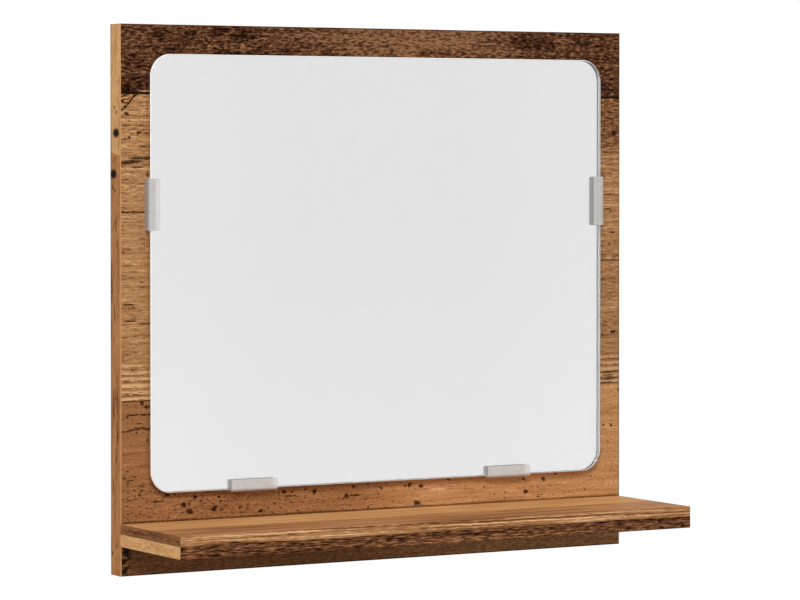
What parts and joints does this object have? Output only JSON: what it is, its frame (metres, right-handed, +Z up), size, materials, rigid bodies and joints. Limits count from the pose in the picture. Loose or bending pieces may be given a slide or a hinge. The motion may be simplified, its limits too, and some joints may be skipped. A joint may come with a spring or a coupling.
{
  "type": "bathroom wall mirror with shelf",
  "caption": "Wall mirror on a flat old-wood effect board with a shallow shelf across its foot; the frameless pane with rounded corners slides down into plastic channel clips.",
  "frame": {"origin": "middle of the back board's rear face, on the wall plane", "axes": "+Y into the wall, so the viewer stands at -Y; +Z up; +X to the viewer's right"},
  "size_m": [0.4, 0.105, 0.37],
  "materials": {
    "decor_board": "chipboard laminated with a matt printed foil of old planks",
    "decor_edge": "matt printed edge band",
    "clear_glass": "polished float glass with a ground arris",
    "silver": "silvered, grey paint on the back",
    "clip_plastic": "milky translucent moulding",
    "zinc_steel": "zinc plated",
    "beech": "bare, turned"
  },
  "bodies": {
    "board": {"back_board": "decor_board", "edge_band_top": "decor_edge", "edge_band_bottom": "decor_edge", "edge_band_left": "decor_edge", "edge_band_right": "decor_edge", "shelf_board": "decor_board", "shelf_band_front": "decor_edge", "shelf_band_left": "decor_edge", "shelf_band_right": "decor_edge", "clip_left": "clip_plastic", "clip_right": "clip_plastic", "clip_bottom_left": "clip_plastic", "clip_bottom_right": "clip_plastic", "clip_screws": "zinc_steel", "hanger_left": "zinc_steel", "hanger_right": "zinc_steel", "hanger_screws": "zinc_steel", "shelf_screws": "zinc_steel", "shelf_dowels": "beech"},
    "pane": {"mirror_glass": "clear_glass", "mirror_silvering": "silver"}
  },
  "joints": [
    {"name": "mirror_lift", "type": "slide", "parent": "board", "child": "pane", "axis": [0, 0, 1], "range_m": [0, 0.196]}
  ]
}
